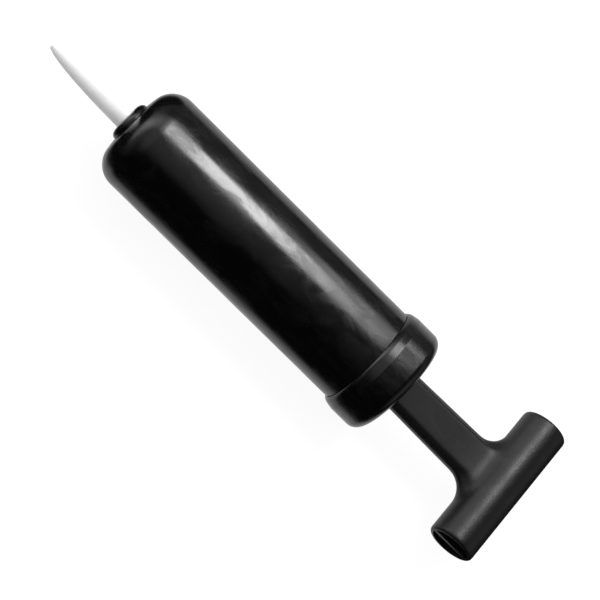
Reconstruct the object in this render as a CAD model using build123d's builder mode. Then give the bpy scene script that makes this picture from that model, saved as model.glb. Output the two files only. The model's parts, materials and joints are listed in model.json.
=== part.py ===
from build123d import *
import math
import os

# Hand vacuum pump. The pump axis is X, the handle end is +X, the T-bar lies along Y.
# The origin is on the axis, halfway along the straight outside wall of the barrel.
# All sizes are in millimetres.

os.makedirs("parts", exist_ok=True)

# ---------------------------------------------------------------- driving sizes
# barrel
barrel_radius = 22.5
barrel_wall = 2.2
straight_length = 119.0
head_depth = 11.4
head_knuckle = 10.5
head_thickness = 3.4
spigot_length = 12.5
spigot_step = 0.4
snap_groove_depth = 0.6
snap_groove_width = 2.0
snap_inset = 5.0
mouth_bevel = 0.6
head_boss_radius = 10.0
head_boss_height = 3.5

# end cap
cap_step = 2.2
cap_length = 18.0
cap_end_wall = 3.2
cap_edge_radius = 4.4
shoulder_length = 4.8
shoulder_rise = 0.55
shoulder_nose = 1.8
shoulder_slope = 16.0
joint_overhang = 0.4

# T-handle and rod, one moulding
rod_width = 17.6
rod_thickness = 9.0
rod_bevel = 2.8
rod_edge_radius = 2.5
neck_flare = 2.1
neck_clear_length = 47.1
neck_lead = 0.8
bar_radius = 10.15
bar_length = 64.2
bar_edge_radius = 0.9
neck_fillet = 9.6
pocket_wall = 1.8
pocket_depth = 13.0
pocket_web = 1.8
pocket_corner = 0.5
core_count = 4
core_length = 16.0
core_width = 8.0
core_depth = 2.7
core_rib = 3.5
core_corner = 2.0
core_clear = 5.0

# piston, from the head end towards the handle
stroke = 90.0
plate_radius = 17.0
plate_thickness = 2.0
washer_radius = 6.0
washer_thickness = 1.0
screw_head_radius = 4.5
screw_head_height = 2.8
screw_radius = 2.4
screw_length = 25.0
screw_point = 1.4
recess_span = 4.5
recess_width = 0.9
recess_depth = 1.4
recess_taper = 8.0
cup_web = 1.5
cup_lip_length = 9.0
cup_lip_wall = 1.3
cup_lip_edge = 0.7
cup_heel_gap = 0.4
expander_wall = 0.8
expander_length = 5.0
expander_gap = 3.0
piston_length = 19.0
piston_hub_radius = 12.0
piston_front_wall = 3.0
piston_flange_length = 10.5
piston_relief = 0.4
lightening_count = 6
lightening_wall = 1.2
lightening_floor = 2.5
ring_width = 5.0
ring_thickness = 2.1
ring_gap = 1.6

# rod guide
bush_hub_radius = 12.9
bush_hub_height = 1.6
vent_count = 6
vent_radius = 1.9
vent_circle = 16.2
exhaust_channel = 1.0
exhaust_rim = 0.6
felt_radius = 13.8
felt_thickness = 2.8
bumper_outer = 18.5
bumper_thickness = 3.5

# nozzle and its collar
nozzle_reach = 39.7
nozzle_root_radius = 4.85
nozzle_waist = 0.6
nozzle_waist_radius = 4.4
nozzle_ogive = 0.25
nozzle_ogive_radius = 3.35
nozzle_tip_radius = 1.75
nozzle_tip_bevel = 0.6
nozzle_tip_edge = 0.3
nozzle_tip_length = 1.4
nozzle_root_draft = 0.012
nozzle_tip_draft = 0.45
nozzle_bore_root = 2.6
nozzle_bore_tip = 0.9
nozzle_flange_radius = 5.6
nozzle_flange = 1.6
collar_radius = 8.8
collar_height = 2.9
collar_rim = 0.6
collar_lip_radius = 5.3
collar_step = 0.8
collar_stem_radius = 6.9
collar_stem_gap = 0.2
collar_seat_depth = 0.8
collar_seal = 0.6
collar_seal_width = 1.25
gasket_thickness = 1.0

# inlet valve
seat_thickness = 1.8
seat_lip = 0.4
seat_lip_radius = 2.8
seat_bore = 1.6
disc_radius = 4.0
disc_thickness = 1.4
disc_edge = 0.25
disc_gap = 0.01
valve_lift = 1.0
spring_radius = 2.4
spring_wire = 0.2
spring_turns = 3
spring_height = 2.6
cage_flange_radius = 9.5
cage_flange = 1.2
cage_wall = 1.4
cage_room = 1.0
cage_end = 1.2
cage_windows = 4
cage_window_width = 2.6
cage_hole_radius = 0.9
cage_hole_inset = 1.2

# pull of a cubic curve's handles that makes it a quarter of an ellipse
quarter_pull = 0.5523

# clearances
slide_gap = 0.3
running_gap = 0.1
seat_gap = 0.1
press_gap = 0.05
head_gap = 1.1
end_gap = 0.3

# ---------------------------------------------------------------- places along the axis
head_line = -straight_length / 2
joint_line = straight_length / 2
bore_radius = barrel_radius - barrel_wall
spigot_radius = barrel_radius - spigot_step
cap_radius = barrel_radius + cap_step
head_apex = head_line - head_depth
head_inner = head_apex + head_thickness
barrel_end = joint_line + spigot_length
cap_end = joint_line + cap_length
cap_inner = cap_end - cap_end_wall
snap_line = barrel_end - snap_inset

collar_face = head_apex + collar_seat_depth
collar_tip = collar_face - collar_height
nozzle_tip = collar_tip - nozzle_reach
nozzle_step = collar_face + collar_step
nozzle_back = nozzle_step + nozzle_flange
gasket_back = nozzle_back + gasket_thickness
seat_back = gasket_back + seat_thickness
seat_face = seat_back + seat_lip
boss_face = head_inner + head_boss_height
disc_back = seat_face + disc_thickness
cage_inner = disc_back + spring_height
cage_tip = cage_inner + cage_end

screw_face = cage_tip + head_gap
washer_face = screw_face + screw_head_height
plate_face = washer_face + washer_thickness
cup_face = plate_face + plate_thickness
piston_face = cup_face + cup_web
piston_back = piston_face + piston_length
flange_face = piston_back - piston_flange_length
rod_start = piston_face + piston_front_wall

bush_face = barrel_end
bush_back = cap_inner - seat_gap
bush_flange = bush_back - bush_face
bumper_face = piston_back + stroke + end_gap
bush_inner = bumper_face + bumper_thickness
bush_stem = bush_face - bush_inner
felt_face = bush_back - felt_thickness

neck_start = cap_end + neck_lead
bar_line = cap_end + neck_clear_length + bar_radius
bar_front = bar_line - bar_radius


def rod_outline(width, grow):
    """Section of the rod: a flat bar with bevelled, rounded edges, grown by a clearance."""
    with BuildSketch(Plane.XY) as outline:
        Rectangle(width + 2 * grow, rod_thickness + 2 * grow)
        chamfer(outline.vertices(), rod_bevel)
        fillet(outline.vertices(), rod_edge_radius)
    return outline.sketch


def across(x):
    """Plane across the pump axis, its own X along Y and its own Y along Z."""
    return Plane(origin=(x, 0, 0), x_dir=(0, 1, 0), z_dir=(1, 0, 0))


# ---------------------------------------------------------------- barrel
knuckle_centre = Vector(head_line, barrel_radius - head_knuckle)
crown_radius = (head_depth**2 + knuckle_centre.Y**2 - head_knuckle**2) / (2 * (head_depth - head_knuckle))
crown_centre = Vector(head_apex + crown_radius, 0)
crown_start = crown_centre + (knuckle_centre - crown_centre).normalized() * crown_radius
inner_knuckle = head_knuckle - barrel_wall

with BuildPart() as barrel:
    with BuildSketch(Plane.XY):
        with BuildLine():
            wall = Line((joint_line, barrel_radius), (head_line, barrel_radius))
            knuckle = TangentArc(wall @ 1, (crown_start.X, crown_start.Y), tangent=(-1, 0))
            crown = TangentArc(knuckle @ 1, (head_apex, 0), tangent=knuckle % 1)
            Polyline(
                crown @ 1,
                (barrel_end, 0),
                (barrel_end, spigot_radius),
                (joint_line, spigot_radius),
                (joint_line, barrel_radius),
            )
        make_face()
    revolve(axis=Axis.X)
    # bore with its rounded inner corner
    with BuildSketch(Plane.XY):
        with BuildLine():
            Polyline((barrel_end, 0), (barrel_end, bore_radius), (head_line, bore_radius))
            TangentArc((head_line, bore_radius), (head_inner, bore_radius - inner_knuckle), tangent=(-1, 0))
            Polyline((head_inner, bore_radius - inner_knuckle), (head_inner, 0), (barrel_end, 0))
        make_face()
    revolve(axis=Axis.X, mode=Mode.SUBTRACT)
    # boss inside the head, hole for the collar and its flat seat outside
    with BuildSketch(across(head_inner)):
        Circle(head_boss_radius)
    extrude(amount=head_boss_height)
    with BuildSketch(across(head_apex - head_thickness)):
        Circle(collar_stem_radius + press_gap)
    extrude(amount=3 * head_thickness + head_boss_height, mode=Mode.SUBTRACT)
    with BuildSketch(across(collar_face)):
        Circle(collar_radius + seat_gap)
    extrude(amount=-2 * collar_seat_depth, mode=Mode.SUBTRACT)
    # groove that the cap snaps into, and the lead-in of the bore
    with BuildSketch(across(snap_line - snap_groove_width / 2)):
        Circle(barrel_radius)
        Circle(spigot_radius - snap_groove_depth, mode=Mode.SUBTRACT)
    extrude(amount=snap_groove_width, mode=Mode.SUBTRACT)
    chamfer(barrel.faces().sort_by(Axis.X)[-1].edges().filter_by(GeomType.CIRCLE), mouth_bevel)
barrel.part.label = "barrel"
export_step(barrel.part, "parts/barrel.step")

# ---------------------------------------------------------------- end cap
skirt_radius = spigot_radius + seat_gap
lip_radius = barrel_radius + joint_overhang
cap_face = joint_line + seat_gap
nose_end = (cap_face + shoulder_nose, cap_radius - shoulder_rise)
nose_tangent = (-math.cos(math.radians(shoulder_slope)), -math.sin(math.radians(shoulder_slope)))

with BuildPart() as end_cap:
    with BuildSketch(Plane.XY) as cap_profile:
        with BuildLine():
            TangentArc(nose_end, (cap_face, lip_radius), tangent=nose_tangent)
            Polyline(
                nose_end,
                (joint_line + shoulder_length, cap_radius),
                (cap_end, cap_radius),
                (cap_end, 0),
                (cap_face, 0),
                (cap_face, lip_radius),
            )
        make_face()
        corner = cap_profile.vertices().group_by(Axis.X)[-1].sort_by(Axis.Y)[-1]
        fillet(corner, cap_edge_radius)
    revolve(axis=Axis.X)
    with BuildSketch(across(cap_face)):
        Circle(skirt_radius)
    extrude(amount=cap_inner - cap_face, mode=Mode.SUBTRACT)
    with BuildSketch(across(cap_inner)):
        add(rod_outline(rod_width, slide_gap))
    extrude(amount=cap_end_wall, mode=Mode.SUBTRACT)
    # bead that snaps into the barrel's groove
    bead_root = snap_groove_width / 2 - seat_gap
    bead_foot = skirt_radius + seat_gap
    bead_top = spigot_radius - snap_groove_depth + seat_gap
    with BuildSketch(Plane.XY):
        with BuildLine():
            Polyline(
                (snap_line - bead_root, bead_foot),
                (snap_line - bead_root / 2, bead_top),
                (snap_line + bead_root / 2, bead_top),
                (snap_line + bead_root, bead_foot),
                close=True,
            )
        make_face()
    revolve(axis=Axis.X)
end_cap.part.label = "end_cap"
export_step(end_cap.part, "parts/end_cap.step")

# ---------------------------------------------------------------- T-handle and rod
with BuildPart() as handle_rod:
    with BuildSketch(across(rod_start + seat_gap)):
        add(rod_outline(rod_width, 0))
    extrude(amount=neck_start - rod_start - seat_gap)
    with BuildSketch(across(neck_start)):
        add(rod_outline(rod_width, 0))
    with BuildSketch(across(bar_line)):
        add(rod_outline(rod_width + neck_flare, 0))
    loft(ruled=True)
    with BuildSketch(Plane(origin=(bar_line, -bar_length / 2, 0), x_dir=(1, 0, 0), z_dir=(0, 1, 0))):
        Circle(bar_radius)
    extrude(amount=bar_length)
    # moulded blend where the neck meets the bar
    meeting = [
        edge
        for edge in handle_rod.edges().filter_by_position(Axis.X, bar_front - seat_gap, bar_line)
        if abs(edge.center().Y) < rod_width / 2 + neck_flare and edge.bounding_box().size.X < bar_radius / 2
    ]
    fillet(meeting, neck_fillet)
    bar_ends = handle_rod.faces().sort_by(Axis.Y)
    fillet(bar_ends[0].edges() + bar_ends[-1].edges(), bar_edge_radius)
    # hollow ends of the bar, each with a thin web across it
    for end in (1, -1):
        mouth = Plane(origin=(bar_line, end * bar_length / 2, 0), x_dir=(1, 0, 0), z_dir=(0, end, 0))
        with BuildSketch(mouth) as pocket:
            Circle(bar_radius - pocket_wall)
            Rectangle(2 * bar_radius, pocket_web, mode=Mode.SUBTRACT)
            fillet(pocket.vertices(), pocket_corner)
        extrude(amount=-pocket_depth, mode=Mode.SUBTRACT)
    # coring pockets in both faces of the rod, between cross ribs
    core_pitch = core_length + core_rib
    core_middle = rod_start + screw_length + core_clear + core_count * core_pitch / 2
    for side in (1, -1):
        face = Plane(origin=(core_middle, 0, side * rod_thickness / 2), z_dir=(0, 0, side), x_dir=(1, 0, 0))
        with BuildSketch(face):
            with GridLocations(core_pitch, 1, core_count, 1):
                RectangleRounded(core_length, core_width, core_corner)
        extrude(amount=-core_depth, mode=Mode.SUBTRACT)
    # pilot hole for the piston screw
    with BuildSketch(across(rod_start)):
        Circle(screw_radius + press_gap)
    extrude(amount=screw_length, mode=Mode.SUBTRACT)
handle_rod.part.label = "handle_rod"
export_step(handle_rod.part, "parts/handle_rod.step")

# ---------------------------------------------------------------- piston
flange_radius = bore_radius - piston_relief
ring_outer = bore_radius - running_gap
ring_inner = ring_outer - ring_thickness
ring_line = (flange_face + piston_back) / 2

with BuildPart() as piston_body:
    with BuildSketch(Plane.XY):
        with BuildLine():
            Polyline(
                (piston_face, 0),
                (piston_face, piston_hub_radius),
                (flange_face, piston_hub_radius),
                (flange_face, flange_radius),
                (ring_line - ring_width / 2, flange_radius),
                (ring_line - ring_width / 2, ring_inner - seat_gap),
                (ring_line + ring_width / 2, ring_inner - seat_gap),
                (ring_line + ring_width / 2, flange_radius),
                (piston_back, flange_radius),
                (piston_back, 0),
                (piston_face, 0),
            )
        make_face()
    revolve(axis=Axis.X)
    with BuildSketch(across(rod_start)):
        add(rod_outline(rod_width, seat_gap))
    extrude(amount=piston_length, mode=Mode.SUBTRACT)
    with BuildSketch(across(piston_face)):
        Circle(screw_radius + press_gap)
    extrude(amount=piston_front_wall, mode=Mode.SUBTRACT)
    # lightening pockets in the back of the flange
    with BuildSketch(across(piston_back)):
        with PolarLocations((piston_hub_radius + ring_inner) / 2, lightening_count):
            Circle((ring_inner - piston_hub_radius) / 2 - lightening_wall)
    extrude(amount=lightening_floor - piston_flange_length, mode=Mode.SUBTRACT)
piston_body.part.label = "piston_body"
export_step(piston_body.part, "parts/piston_body.step")

with BuildPart() as guide_ring:
    with BuildSketch(across(ring_line - ring_width / 2 + seat_gap)):
        Circle(ring_outer)
        Circle(ring_inner, mode=Mode.SUBTRACT)
    extrude(amount=ring_width - 2 * seat_gap)
    # slanted split, so that the ring can be sprung over the flange
    split_plane = Plane(origin=(ring_line, 0, ring_outer), x_dir=(1, 1, 0), z_dir=(0, 0, 1))
    with BuildSketch(split_plane):
        Rectangle(4 * ring_width, ring_gap)
    extrude(amount=-2 * ring_thickness, mode=Mode.SUBTRACT)
guide_ring.part.label = "guide_ring"
export_step(guide_ring.part, "parts/guide_ring.step")

cup_outer = bore_radius - running_gap
cup_root = cup_outer - cup_heel_gap
cup_inner = cup_root - cup_lip_wall

with BuildPart() as piston_cup:
    with BuildSketch(Plane.XY) as cup_profile:
        with BuildLine():
            Polyline(
                (cup_face, screw_radius + press_gap),
                (cup_face, cup_root),
                (cup_face + cup_lip_length, cup_outer),
                (cup_face + cup_lip_length, cup_outer - cup_lip_edge),
                (piston_face, cup_inner),
                (piston_face, screw_radius + press_gap),
                close=True,
            )
        make_face()
        heel = cup_profile.vertices().group_by(Axis.X)[0].sort_by(Axis.Y)[-1]
        fillet(heel, cup_web)
        crotch = cup_profile.vertices().sort_by_distance((piston_face, cup_inner))[0]
        fillet(crotch, cup_web / 2)
    revolve(axis=Axis.X)
piston_cup.part.label = "piston_cup"
export_step(piston_cup.part, "parts/piston_cup.step")

expander_outer = cup_inner - cup_web / 2

with BuildPart() as cup_expander:
    with BuildSketch(across(piston_face + seat_gap)):
        Circle(expander_outer)
        Circle(expander_outer - expander_wall, mode=Mode.SUBTRACT)
        with Locations((0, expander_outer)):
            Rectangle(expander_gap, 4 * expander_wall, mode=Mode.SUBTRACT)
    extrude(amount=expander_length)
cup_expander.part.label = "cup_expander"
export_step(cup_expander.part, "parts/cup_expander.step")

with BuildPart() as clamp_plate:
    with BuildSketch(across(plate_face)):
        Circle(plate_radius)
        Circle(screw_radius + press_gap, mode=Mode.SUBTRACT)
    extrude(amount=plate_thickness)
    rim = clamp_plate.edges().filter_by(GeomType.CIRCLE).sort_by(Axis.X)[:2].sort_by(SortBy.RADIUS)[-1]
    chamfer(rim, plate_thickness / 3)
clamp_plate.part.label = "clamp_plate"
export_step(clamp_plate.part, "parts/clamp_plate.step")

with BuildPart() as screw_washer:
    with BuildSketch(across(washer_face)):
        Circle(washer_radius)
        Circle(screw_radius + press_gap, mode=Mode.SUBTRACT)
    extrude(amount=washer_thickness)
screw_washer.part.label = "screw_washer"
export_step(screw_washer.part, "parts/screw_washer.step")

with BuildPart() as piston_screw:
    with BuildSketch(across(screw_face)):
        Circle(screw_head_radius)
    extrude(amount=screw_head_height)
    fillet(piston_screw.faces().sort_by(Axis.X)[0].edges(), screw_head_height / 2)
    with BuildSketch(across(washer_face)):
        Circle(screw_radius)
    extrude(amount=screw_length)
    chamfer(piston_screw.faces().sort_by(Axis.X)[-1].edges(), screw_point)
    # cross recess
    with BuildSketch(across(screw_face)):
        Rectangle(recess_span, recess_width)
        Rectangle(recess_width, recess_span)
    extrude(amount=recess_depth, taper=recess_taper, mode=Mode.SUBTRACT)
piston_screw.part.label = "piston_screw"
export_step(piston_screw.part, "parts/piston_screw.step")

# ---------------------------------------------------------------- rod guide
with BuildPart() as guide_bush:
    with BuildSketch(across(bush_inner)):
        Circle(bore_radius - seat_gap)
    extrude(amount=bush_stem)
    with BuildSketch(across(bush_face)):
        Circle(spigot_radius - seat_gap)
    extrude(amount=bush_flange)
    with BuildSketch(across(bush_inner)):
        Circle(bush_hub_radius)
    extrude(amount=-bush_hub_height)
    # way through for the rod
    with BuildSketch(across(bush_inner - bush_hub_height)):
        add(rod_outline(rod_width, slide_gap))
    extrude(amount=bush_hub_height + bush_stem + bush_flange, mode=Mode.SUBTRACT)
    # seat for the felt and the channel that joins the vents to it
    with BuildSketch(across(bush_back)):
        Circle(felt_radius + seat_gap)
    extrude(amount=-felt_thickness, mode=Mode.SUBTRACT)
    with BuildSketch(across(bush_back)):
        Circle(vent_circle + vent_radius + exhaust_rim)
    extrude(amount=-exhaust_channel, mode=Mode.SUBTRACT)
    with BuildSketch(across(bush_inner)):
        with PolarLocations(vent_circle, vent_count):
            Circle(vent_radius)
    extrude(amount=bush_stem + bush_flange, mode=Mode.SUBTRACT)
guide_bush.part.label = "guide_bush"
export_step(guide_bush.part, "parts/guide_bush.step")

with BuildPart() as felt_wiper:
    with BuildSketch(across(felt_face)):
        Circle(felt_radius)
        add(rod_outline(rod_width, slide_gap), mode=Mode.SUBTRACT)
    extrude(amount=felt_thickness - seat_gap)
felt_wiper.part.label = "felt_wiper"
export_step(felt_wiper.part, "parts/felt_wiper.step")

with BuildPart() as bumper_ring:
    with BuildSketch(across(bumper_face)):
        Circle(bumper_outer)
        Circle(bush_hub_radius + seat_gap, mode=Mode.SUBTRACT)
        # notches that leave the vents open
        with PolarLocations(vent_circle + exhaust_rim, vent_count):
            Circle(vent_radius + exhaust_rim, mode=Mode.SUBTRACT)
    extrude(amount=bumper_thickness)
bumper_ring.part.label = "bumper_ring"
export_step(bumper_ring.part, "parts/bumper_ring.step")

# ---------------------------------------------------------------- nozzle and its collar
with BuildPart() as nozzle:
    with BuildSketch(Plane.XY) as nozzle_profile:
        with BuildLine():
            side = Spline(
                (collar_tip, nozzle_root_radius),
                (nozzle_tip + nozzle_waist * nozzle_reach, nozzle_waist_radius),
                (nozzle_tip + nozzle_ogive * nozzle_reach, nozzle_ogive_radius),
                (nozzle_tip + nozzle_tip_length, nozzle_tip_radius),
                tangents=[(-1, -nozzle_root_draft), (-1, -nozzle_tip_draft)],
            )
            Polyline(
                side @ 1,
                (nozzle_tip, nozzle_tip_radius - nozzle_tip_bevel),
                (nozzle_tip, nozzle_bore_tip),
                (nozzle_back, nozzle_bore_root),
                (nozzle_back, nozzle_flange_radius),
                (nozzle_step, nozzle_flange_radius),
                (nozzle_step, nozzle_root_radius),
                side @ 0,
            )
        make_face()
        fillet(nozzle_profile.vertices().group_by(Axis.X)[0].sort_by(Axis.Y)[-1], nozzle_tip_edge)
    revolve(axis=Axis.X)
nozzle.part.label = "nozzle"
export_step(nozzle.part, "parts/nozzle.step")

seal_outer = collar_stem_radius + collar_seal_width
stem_end = boss_face - collar_stem_gap
stem_bore = nozzle_flange_radius + seat_gap
collar_crown = Vector(collar_height - collar_rim, collar_radius - collar_lip_radius)

with BuildPart() as nozzle_collar:
    with BuildSketch(Plane.XY):
        with BuildLine():
            Bezier(
                (collar_face - collar_rim, collar_radius),
                (collar_face - collar_rim - quarter_pull * collar_crown.X, collar_radius),
                (collar_tip, collar_lip_radius + quarter_pull * collar_crown.Y),
                (collar_tip, collar_lip_radius),
            )
            Polyline(
                (collar_tip, collar_lip_radius),
                (collar_tip, nozzle_root_radius + seat_gap),
                (nozzle_step, nozzle_root_radius + seat_gap),
                (nozzle_step, stem_bore),
                (stem_end, stem_bore),
                (stem_end, collar_stem_radius),
                (collar_face - collar_seal, collar_stem_radius),
                (collar_face - collar_seal, seal_outer + seat_gap),
                (collar_face, seal_outer + seat_gap),
                (collar_face, collar_radius),
                (collar_face - collar_rim, collar_radius),
            )
        make_face()
    revolve(axis=Axis.X)
nozzle_collar.part.label = "nozzle_collar"
export_step(nozzle_collar.part, "parts/nozzle_collar.step")

with BuildPart() as collar_gasket:
    with BuildSketch(across(collar_face - collar_seal + press_gap)):
        Circle(seal_outer)
        Circle(collar_stem_radius + press_gap, mode=Mode.SUBTRACT)
    extrude(amount=collar_seal - press_gap)
collar_gasket.part.label = "collar_gasket"
export_step(collar_gasket.part, "parts/collar_gasket.step")

with BuildPart() as nozzle_gasket:
    with BuildSketch(across(nozzle_back)):
        Circle(nozzle_flange_radius)
        Circle(nozzle_bore_root, mode=Mode.SUBTRACT)
    extrude(amount=gasket_thickness)
nozzle_gasket.part.label = "nozzle_gasket"
export_step(nozzle_gasket.part, "parts/nozzle_gasket.step")

# ---------------------------------------------------------------- inlet valve
with BuildPart() as valve_seat:
    with BuildSketch(across(gasket_back)):
        Circle(nozzle_flange_radius)
    extrude(amount=seat_thickness)
    with BuildSketch(across(seat_back)):
        Circle(seat_lip_radius)
    extrude(amount=seat_lip)
    with BuildSketch(across(gasket_back)):
        Circle(seat_bore)
    extrude(amount=seat_thickness + seat_lip, mode=Mode.SUBTRACT)
valve_seat.part.label = "valve_seat"
export_step(valve_seat.part, "parts/valve_seat.step")

with BuildPart() as valve_disc:
    with BuildSketch(across(seat_face + disc_gap)):
        Circle(disc_radius)
    extrude(amount=disc_thickness - disc_gap)
    fillet(valve_disc.edges().filter_by(GeomType.CIRCLE), disc_edge)
valve_disc.part.label = "valve_disc"
export_step(valve_disc.part, "parts/valve_disc.step")

cage_bore = disc_radius + cage_room

with BuildPart() as valve_cage:
    with BuildSketch(across(boss_face)):
        Circle(cage_flange_radius)
    extrude(amount=cage_flange)
    with BuildSketch(across(boss_face)):
        Circle(cage_bore + cage_wall)
    extrude(amount=cage_tip - boss_face)
    with BuildSketch(across(boss_face)):
        Circle(cage_bore)
    extrude(amount=cage_inner - boss_face, mode=Mode.SUBTRACT)
    # windows in the side, and holes round the end
    window_length = cage_inner - boss_face - cage_flange
    for turn in range(cage_windows // 2):
        around = Plane.XY.rotated((turn * 360 / cage_windows, 0, 0))
        with BuildSketch(around):
            with Locations((boss_face + cage_flange + window_length / 2, 0)):
                Rectangle(window_length, cage_window_width)
        extrude(amount=cage_bore + 2 * cage_wall, both=True, mode=Mode.SUBTRACT)
    with BuildSketch(across(cage_inner)):
        with PolarLocations(cage_bore - cage_hole_inset, cage_windows, start_angle=180 / cage_windows):
            Circle(cage_hole_radius)
    extrude(amount=cage_end, mode=Mode.SUBTRACT)
valve_cage.part.label = "valve_cage"
export_step(valve_cage.part, "parts/valve_cage.step")

with BuildPart() as valve_spring:
    coil_start = disc_back + spring_wire + press_gap
    coil_height = spring_height - 2 * spring_wire - 2 * press_gap
    with BuildLine():
        coil = Helix(
            coil_height / spring_turns,
            coil_height,
            spring_radius,
            center=(coil_start, 0, 0),
            direction=(1, 0, 0),
        )
    with BuildSketch(Plane(origin=coil @ 0, z_dir=coil % 0)):
        Circle(spring_wire)
    sweep(path=coil)
valve_spring.part.label = "valve_spring"
export_step(valve_spring.part, "parts/valve_spring.step")

print("overall length", round(bar_line + bar_radius - nozzle_tip, 2))
print("handle travel", stroke, "valve lift", valve_lift)
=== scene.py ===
import json
import math

import bmesh
import bpy
from mathutils import Matrix, Vector


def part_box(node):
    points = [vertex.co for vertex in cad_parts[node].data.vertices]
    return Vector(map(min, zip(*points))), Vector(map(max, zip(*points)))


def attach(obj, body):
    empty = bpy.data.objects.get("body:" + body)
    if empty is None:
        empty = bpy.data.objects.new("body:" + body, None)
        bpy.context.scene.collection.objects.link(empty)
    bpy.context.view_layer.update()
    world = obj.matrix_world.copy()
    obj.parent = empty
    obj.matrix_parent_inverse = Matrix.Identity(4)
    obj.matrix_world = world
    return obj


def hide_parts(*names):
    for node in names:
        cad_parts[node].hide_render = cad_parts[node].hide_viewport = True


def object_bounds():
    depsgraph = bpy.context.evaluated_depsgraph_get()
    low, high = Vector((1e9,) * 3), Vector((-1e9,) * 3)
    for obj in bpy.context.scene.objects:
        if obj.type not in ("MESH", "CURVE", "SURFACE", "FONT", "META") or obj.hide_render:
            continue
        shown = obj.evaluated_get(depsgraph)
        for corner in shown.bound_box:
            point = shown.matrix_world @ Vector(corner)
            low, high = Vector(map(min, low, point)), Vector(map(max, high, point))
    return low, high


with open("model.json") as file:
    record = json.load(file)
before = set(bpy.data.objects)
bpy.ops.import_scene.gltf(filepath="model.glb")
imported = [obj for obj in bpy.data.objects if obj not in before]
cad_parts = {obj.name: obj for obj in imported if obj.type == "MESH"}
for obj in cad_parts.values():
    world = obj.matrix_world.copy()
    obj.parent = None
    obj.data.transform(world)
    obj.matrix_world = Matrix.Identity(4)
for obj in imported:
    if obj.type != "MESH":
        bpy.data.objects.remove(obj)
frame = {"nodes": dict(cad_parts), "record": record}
cadLow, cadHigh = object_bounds()
nodes = frame["nodes"]
mm = 0.001
print("frame loaded with", len(nodes), "nodes")

# the camera looks down on the pump and is turned about its own line of sight
viewpoint = {
    "place": (-0.0911, -0.3034, 0.8013),
    "azimuth": -21.155,
    "elevation": 68.10,
    "roll": 64.37,
    "lens": 132.0,
    "sensor": 36.0,
}


def placeCamera():
    around, above = math.radians(viewpoint["azimuth"]), math.radians(viewpoint["elevation"])
    roll = math.radians(viewpoint["roll"])
    back = Vector((math.sin(around) * math.cos(above), -math.cos(around) * math.cos(above), math.sin(above)))
    level = Vector((math.cos(around), math.sin(around), 0))
    right = level * math.cos(roll) + back.cross(level) * math.sin(roll)
    up = back.cross(right)
    lens = bpy.data.cameras.new("mainCamera")
    lens.lens, lens.sensor_width = viewpoint["lens"], viewpoint["sensor"]
    lens.clip_start, lens.clip_end = 0.01, 20
    camera = bpy.data.objects.new("mainCamera", lens)
    bpy.context.scene.collection.objects.link(camera)
    place = viewpoint["place"]
    camera.matrix_world = Matrix([(right[i], up[i], back[i], place[i]) for i in range(3)] + [(0, 0, 0, 1)])
    bpy.context.scene.camera = camera


placeCamera()
bpy.context.scene.view_settings.view_transform = "Standard"
print("camera placed")


def addNode(tree, kind, **settings):
    node = tree.nodes.new("ShaderNode" + kind)
    for setting, value in settings.items():
        setattr(node, setting, value)
    return node


def feed(tree, node, **sources):
    # a source is a socket to link or a plain value, named by the socket's label or by its number
    for label, source in sources.items():
        numbered = label[0] == "n" and label[1:].isdigit()
        socket = node.inputs[int(label[1:]) if numbered else label.replace("_", " ")]
        if isinstance(source, bpy.types.NodeSocket):
            tree.links.new(source, socket)
        else:
            socket.default_value = source
    return node


def calc(tree, operation, first, second=0.0, third=0.0, clamp=False):
    node = addNode(tree, "Math", operation=operation, use_clamp=clamp)
    return feed(tree, node, n0=first, n1=second, n2=third).outputs[0]


def spread(tree, value, fromLow, fromHigh, toLow=0.0, toHigh=1.0):
    node = addNode(tree, "MapRange", interpolation_type="SMOOTHSTEP")
    feed(tree, node, Value=value, From_Min=fromLow, From_Max=fromHigh, To_Min=toLow, To_Max=toHigh)
    return node.outputs["Result"]


def tint(tree, amount, first, second):
    node = addNode(tree, "Mix", data_type="RGBA")
    return feed(tree, node, n0=amount, n6=first, n7=second).outputs[2]


def noise(tree, place, scale, detail=3.0, roughness=0.55, distortion=0.0):
    node = addNode(tree, "TexNoise")
    feed(tree, node, Vector=place, Scale=scale, Detail=detail, Roughness=roughness, Distortion=distortion)
    return node.outputs[0]


def stretched(tree, place, stretch, turn=(0, 0, 0)):
    node = addNode(tree, "Mapping")
    return feed(tree, node, Vector=place, Rotation=turn, Scale=stretch).outputs[0]


def objectPlace(tree):
    return addNode(tree, "TexCoord").outputs["Object"]


def newGroup(name, inputs, outputs):
    tree = bpy.data.node_groups.new(name, "ShaderNodeTree")
    for label, value in inputs.items():
        tree.interface.new_socket(label, in_out="INPUT", socket_type="NodeSocketFloat").default_value = value
    for label in outputs:
        tree.interface.new_socket(label, in_out="OUTPUT", socket_type="NodeSocketFloat")
    return tree, tree.nodes.new("NodeGroupInput").outputs, tree.nodes.new("NodeGroupOutput")


def placed(tree, group, **values):
    node = addNode(tree, "Group", node_tree=group)
    return feed(tree, node, **values).outputs


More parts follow.
